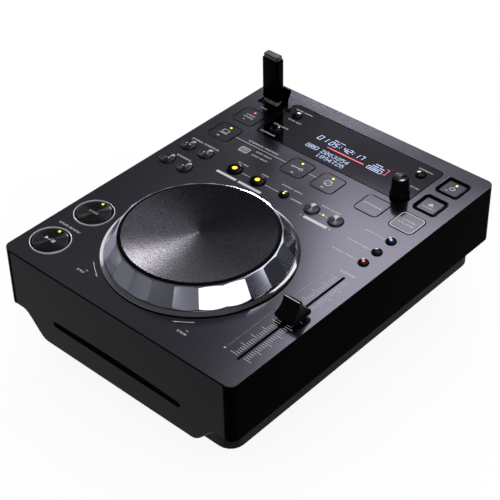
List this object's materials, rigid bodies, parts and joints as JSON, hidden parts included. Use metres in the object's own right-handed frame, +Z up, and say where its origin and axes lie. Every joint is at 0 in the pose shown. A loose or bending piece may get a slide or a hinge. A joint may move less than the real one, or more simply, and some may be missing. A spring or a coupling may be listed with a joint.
{
  "type": "tabletop dj cd player",
  "caption": "Slot-loading tabletop disc player for mixing: large scalloped jog wheel, tempo slider, display window, push buttons and a memory stick standing in a covered port.",
  "frame": {"origin": "on the table under the middle of the player's outline, jacks included", "axes": "+Z up, +X to the player's right, +Y to its back; the disc slot faces -Y"},
  "size_m": [0.2186, 0.2964, 0.1349],
  "materials": {
    "satin_panel": "dark grey satin",
    "gloss_black": "polished black",
    "slate_plastic": "fine-grained slate",
    "foot_rubber": "matt",
    "window_gloss": "polished smoked window",
    "display_glass": "dark, lit characters",
    "jog_chrome": "satin chrome plating",
    "jog_black": "spun, black",
    "ring_silver": "silver plating",
    "button_black": "black, semi-gloss",
    "key_grey": "dark grey satin",
    "steel": "turned",
    "zinc_sheet": "zinc-plated sheet",
    "white_plastic": "natural acetal",
    "board_green": "green solder resist",
    "black_plastic": "matt black",
    "roller_rubber": "matt"
  },
  "bodies": {
    "housing": {"upper_case": "gloss_black", "control_panel": "satin_panel", "front_fascia": "satin_panel", "base_tray": "slate_plastic", "foot_front_left": "foot_rubber", "foot_front_right": "foot_rubber", "foot_back_left": "foot_rubber", "foot_back_right": "foot_rubber", "display_window": "window_gloss", "display_module": "display_glass", "jog_post": "steel", "play_ring": "ring_silver", "cue_ring": "ring_silver", "eject_bezel": "gloss_black", "standby_bezel": "gloss_black", "rotary_encoder": "black_plastic", "tempo_track": "zinc_sheet", "usb_port": "black_plastic", "drive_chassis": "zinc_sheet", "drive_cover": "zinc_sheet", "main_board": "board_green", "power_board": "board_green", "jack_board": "black_plastic"},
    "jog": {"jog_ring": "jog_chrome", "jog_hub": "white_plastic", "jog_bearing": "steel"},
    "touch_plate": {"jog_plate": "jog_black"},
    "play_button": {"play_button": "button_black"},
    "cue_button": {"cue_button": "button_black"},
    "track_back_button": {"track_back_button": "button_black"},
    "track_forward_button": {"track_forward_button": "button_black"},
    "search_back_button": {"search_back_button": "button_black"},
    "search_forward_button": {"search_forward_button": "button_black"},
    "loop_in_button": {"loop_in_button": "button_black"},
    "loop_out_button": {"loop_out_button": "button_black"},
    "reloop_button": {"reloop_button": "button_black"},
    "beat_half_button": {"beat_half_button": "button_black"},
    "beat_double_button": {"beat_double_button": "button_black"},
    "vinyl_button": {"vinyl_button": "button_black"},
    "tempo_range_button": {"tempo_range_button": "button_black"},
    "master_tempo_button": {"master_tempo_button": "button_black"},
    "time_mode_button": {"time_mode_button": "button_black"},
    "menu_button": {"menu_button": "button_black"},
    "back_button": {"back_button": "button_black"},
    "computer_source_key": {"computer_source_key": "key_grey"},
    "stick_source_key": {"stick_source_key": "key_grey"},
    "disc_source_key": {"disc_source_key": "key_grey"},
    "stick_stop_key": {"stick_stop_key": "key_grey"},
    "playlist_key": {"playlist_key": "key_grey"},
    "beat_lock_key": {"beat_lock_key": "key_grey"},
    "eject_key": {"eject_key": "key_grey"},
    "standby_key": {"standby_key": "key_grey"},
    "selector_shaft": {"rotary_shaft": "steel"},
    "selector_knob": {"rotary_knob": "button_black"},
    "tempo_slider": {"tempo_knob": "button_black", "tempo_lever": "black_plastic"},
    "stick_cover": {"usb_cover": "black_plastic"},
    "memory_stick": {"usb_stick": "black_plastic"},
    "disc_turntable": {"turntable": "black_plastic"},
    "disc_roller": {"feed_roller": "roller_rubber"}
  },
  "joints": [
    {"name": "jog_spin", "type": "hinge", "parent": "housing", "child": "jog", "pos_m": [0, -0.06135, 0.0903], "axis": [0, 0, 1], "continuous": true},
    {"name": "jog_touch", "type": "slide", "parent": "jog", "child": "touch_plate", "axis": [0, 0, -1], "range_m": [0, 0.0005], "stiffness_N_per_m": 6000, "springref_m": -0.0003},
    {"name": "play_button_press", "type": "slide", "parent": "housing", "child": "play_button", "axis": [0, 0, -1], "range_m": [0, 0.0012], "stiffness_N_per_m": 1800, "springref_m": -0.0004},
    {"name": "cue_button_press", "type": "slide", "parent": "housing", "child": "cue_button", "axis": [0, 0, -1], "range_m": [0, 0.0012], "stiffness_N_per_m": 1800, "springref_m": -0.0004},
    {"name": "track_back_button_press", "type": "slide", "parent": "housing", "child": "track_back_button", "axis": [0, 0, -1], "range_m": [0, 0.0007], "stiffness_N_per_m": 1800, "springref_m": -0.0004},
    {"name": "track_forward_button_press", "type": "slide", "parent": "housing", "child": "track_forward_button", "axis": [0, 0, -1], "range_m": [0, 0.0007], "stiffness_N_per_m": 1800, "springref_m": -0.0004},
    {"name": "search_back_button_press", "type": "slide", "parent": "housing", "child": "search_back_button", "axis": [0, 0, -1], "range_m": [0, 0.0007], "stiffness_N_per_m": 1800, "springref_m": -0.0004},
    {"name": "search_forward_button_press", "type": "slide", "parent": "housing", "child": "search_forward_button", "axis": [0, 0, -1], "range_m": [0, 0.0007], "stiffness_N_per_m": 1800, "springref_m": -0.0004},
    {"name": "loop_in_button_press", "type": "slide", "parent": "housing", "child": "loop_in_button", "axis": [0, 0, -1], "range_m": [0, 0.0007], "stiffness_N_per_m": 1800, "springref_m": -0.0004},
    {"name": "loop_out_button_press", "type": "slide", "parent": "housing", "child": "loop_out_button", "axis": [0, 0, -1], "range_m": [0, 0.0007], "stiffness_N_per_m": 1800, "springref_m": -0.0004},
    {"name": "reloop_button_press", "type": "slide", "parent": "housing", "child": "reloop_button", "axis": [0, 0, -1], "range_m": [0, 0.0007], "stiffness_N_per_m": 1800, "springref_m": -0.0004},
    {"name": "beat_half_button_press", "type": "slide", "parent": "housing", "child": "beat_half_button", "axis": [0, 0, -1], "range_m": [0, 0.0007], "stiffness_N_per_m": 1800, "springref_m": -0.0004},
    {"name": "beat_double_button_press", "type": "slide", "parent": "housing", "child": "beat_double_button", "axis": [0, 0, -1], "range_m": [0, 0.0007], "stiffness_N_per_m": 1800, "springref_m": -0.0004},
    {"name": "vinyl_button_press", "type": "slide", "parent": "housing", "child": "vinyl_button", "axis": [0, 0, -1], "range_m": [0, 0.0007], "stiffness_N_per_m": 1800, "springref_m": -0.0004},
    {"name": "tempo_range_button_press", "type": "slide", "parent": "housing", "child": "tempo_range_button", "axis": [0, 0, -1], "range_m": [0, 0.0007], "stiffness_N_per_m": 1800, "springref_m": -0.0004},
    {"name": "master_tempo_button_press", "type": "slide", "parent": "housing", "child": "master_tempo_button", "axis": [0, 0, -1], "range_m": [0, 0.0007], "stiffness_N_per_m": 1800, "springref_m": -0.0004},
    {"name": "time_mode_button_press", "type": "slide", "parent": "housing", "child": "time_mode_button", "axis": [0, 0, -1], "range_m": [0, 0.0007], "stiffness_N_per_m": 1800, "springref_m": -0.0004},
    {"name": "menu_button_press", "type": "slide", "parent": "housing", "child": "menu_button", "axis": [0, 0, -1], "range_m": [0, 0.0007], "stiffness_N_per_m": 1800, "springref_m": -0.0004},
    {"name": "back_button_press", "type": "slide", "parent": "housing", "child": "back_button", "axis": [0, 0, -1], "range_m": [0, 0.0007], "stiffness_N_per_m": 1800, "springref_m": -0.0004},
    {"name": "computer_source_key_press", "type": "slide", "parent": "housing", "child": "computer_source_key", "axis": [0, 0, -1], "range_m": [0, 0.0005], "stiffness_N_per_m": 2500, "springref_m": -0.0004},
    {"name": "stick_source_key_press", "type": "slide", "parent": "housing", "child": "stick_source_key", "axis": [0, 0, -1], "range_m": [0, 0.0005], "stiffness_N_per_m": 2500, "springref_m": -0.0004},
    {"name": "disc_source_key_press", "type": "slide", "parent": "housing", "child": "disc_source_key", "axis": [0, 0, -1], "range_m": [0, 0.0005], "stiffness_N_per_m": 2500, "springref_m": -0.0004},
    {"name": "stick_stop_key_press", "type": "slide", "parent": "housing", "child": "stick_stop_key", "axis": [0, 0, -1], "range_m": [0, 0.0005], "stiffness_N_per_m": 2500, "springref_m": -0.0004},
    {"name": "playlist_key_press", "type": "slide", "parent": "housing", "child": "playlist_key", "axis": [0, 0, -1], "range_m": [0, 0.0005], "stiffness_N_per_m": 2500, "springref_m": -0.0004},
    {"name": "beat_lock_key_press", "type": "slide", "parent": "housing", "child": "beat_lock_key", "axis": [0, 0, -1], "range_m": [0, 0.0005], "stiffness_N_per_m": 2500, "springref_m": -0.0004},
    {"name": "eject_key_press", "type": "slide", "parent": "housing", "child": "eject_key", "axis": [0, 0, -1], "range_m": [0, 0.0005], "stiffness_N_per_m": 2500, "springref_m": -0.0004},
    {"name": "standby_key_press", "type": "slide", "parent": "housing", "child": "standby_key", "axis": [0, 0, -1], "range_m": [0, 0.0005], "stiffness_N_per_m": 2500, "springref_m": -0.0004},
    {"name": "selector_push", "type": "slide", "parent": "housing", "child": "selector_shaft", "axis": [0, 0, -1], "range_m": [0, 0.0005], "stiffness_N_per_m": 5000, "springref_m": -0.0004},
    {"name": "selector_turn", "type": "hinge", "parent": "selector_shaft", "child": "selector_knob", "pos_m": [0.0644, 0.08175, 0.0903], "axis": [0, 0, 1], "continuous": true},
    {"name": "tempo_slide", "type": "slide", "parent": "housing", "child": "tempo_slider", "axis": [0, 1, 0], "range_m": [-0.05, 0.05]},
    {"name": "cover_hinge", "type": "hinge", "parent": "housing", "child": "stick_cover", "pos_m": [-0.0875, 0.12005, 0.0909], "axis": [1, 0, 0], "range_deg": [0, 25]},
    {"name": "stick_pull", "type": "slide", "parent": "housing", "child": "memory_stick", "axis": [0, 0, 1], "range_m": [0, 0.03]},
    {"name": "turntable_spin", "type": "hinge", "parent": "housing", "child": "disc_turntable", "pos_m": [0, -0.06675, 0.042], "axis": [0, 0, 1], "continuous": true},
    {"name": "roller_spin", "type": "hinge", "parent": "housing", "child": "disc_roller", "pos_m": [0, -0.13095, 0.038], "axis": [1, 0, 0], "continuous": true}
  ]
}
